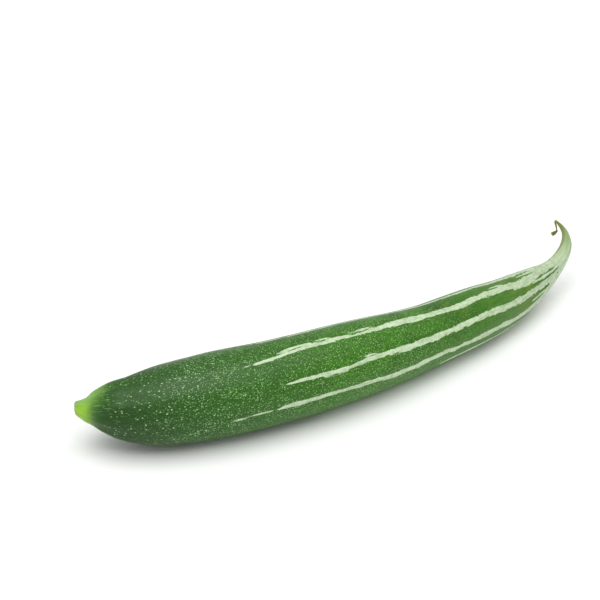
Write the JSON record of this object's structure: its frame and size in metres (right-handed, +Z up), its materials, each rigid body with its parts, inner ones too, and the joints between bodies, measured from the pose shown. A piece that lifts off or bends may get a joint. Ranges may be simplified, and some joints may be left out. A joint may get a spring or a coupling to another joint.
{
  "type": "snake gourd",
  "caption": "Slender striped snake gourd lying on its side, with a short cut stalk and a hooked neck that ends in a withered flower thread.",
  "frame": {"origin": "under the middle of the bounding box, on the surface that the gourd lies on", "axes": "+X along the gourd from its cut stalk to its hooked tip, +Y towards the side that the hook bends to, +Z up"},
  "size_m": [0.3466, 0.0708, 0.046],
  "materials": {
    "skin": "satin",
    "stalk": "matte",
    "dried_flower": "matte"
  },
  "bodies": {
    "root": {"fruit": "skin", "stalk_stub": "stalk", "withered_flower": "dried_flower"}
  },
  "joints": []
}
